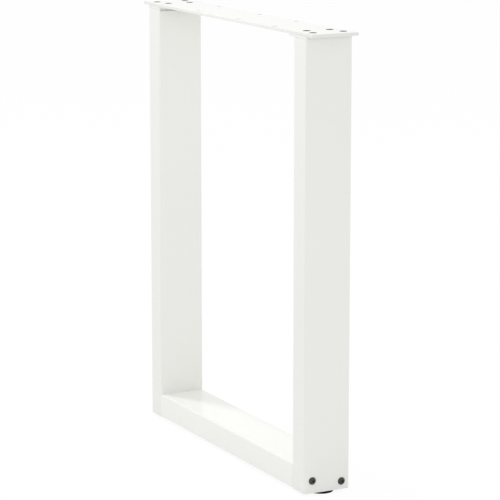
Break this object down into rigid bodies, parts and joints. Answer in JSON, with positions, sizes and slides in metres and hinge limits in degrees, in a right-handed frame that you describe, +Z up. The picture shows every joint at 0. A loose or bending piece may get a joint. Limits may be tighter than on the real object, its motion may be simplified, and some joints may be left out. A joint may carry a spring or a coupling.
{
  "type": "u shaped table leg",
  "caption": "White steel table leg of rectangular tube: two uprights on a low bar, under a drilled strip that the table top is screwed to, on two levelling feet.",
  "frame": {"origin": "on the floor under the middle of the leg, at the middle of both feet", "axes": "+X along the span towards the right upright, +Y from front to rear across the tubes' wide side, +Z up"},
  "size_m": [0.6, 0.08, 0.724],
  "materials": {
    "white_powder_coat": "fine matt powder coat on steel",
    "black_screw_steel": "black finished steel",
    "zinc_steel": "zinc plated steel",
    "black_plastic": "hard black plastic"
  },
  "bodies": {
    "frame": {"top_strip": "white_powder_coat", "bottom_bar": "white_powder_coat", "right_upright": "white_powder_coat", "right_top_flange": "white_powder_coat", "right_strip_screw_outer_front": "black_screw_steel", "right_strip_screw_outer_rear": "black_screw_steel", "right_strip_screw_inner_front": "black_screw_steel", "right_strip_screw_inner_rear": "black_screw_steel", "right_bar_end_plate": "white_powder_coat", "right_bar_nut_front": "zinc_steel", "right_bar_screw_front": "black_screw_steel", "right_bar_nut_rear": "zinc_steel", "right_bar_screw_rear": "black_screw_steel", "right_foot_plate": "white_powder_coat", "right_foot_nut": "zinc_steel", "left_upright": "white_powder_coat", "left_top_flange": "white_powder_coat", "left_strip_screw_outer_front": "black_screw_steel", "left_strip_screw_outer_rear": "black_screw_steel", "left_strip_screw_inner_front": "black_screw_steel", "left_strip_screw_inner_rear": "black_screw_steel", "left_bar_end_plate": "white_powder_coat", "left_bar_nut_front": "zinc_steel", "left_bar_screw_front": "black_screw_steel", "left_bar_nut_rear": "zinc_steel", "left_bar_screw_rear": "black_screw_steel", "left_foot_plate": "white_powder_coat", "left_foot_nut": "zinc_steel"},
    "right_foot": {"right_foot_stem": "zinc_steel", "right_foot_pad": "black_plastic"},
    "left_foot": {"left_foot_stem": "zinc_steel", "left_foot_pad": "black_plastic"}
  },
  "joints": [
    {"name": "right_foot_height", "type": "slide", "parent": "frame", "child": "right_foot", "axis": [0, 0, 1], "range_m": [-0.01, 0]},
    {"name": "left_foot_height", "type": "slide", "parent": "frame", "child": "left_foot", "axis": [0, 0, 1], "range_m": [-0.01, 0]}
  ]
}
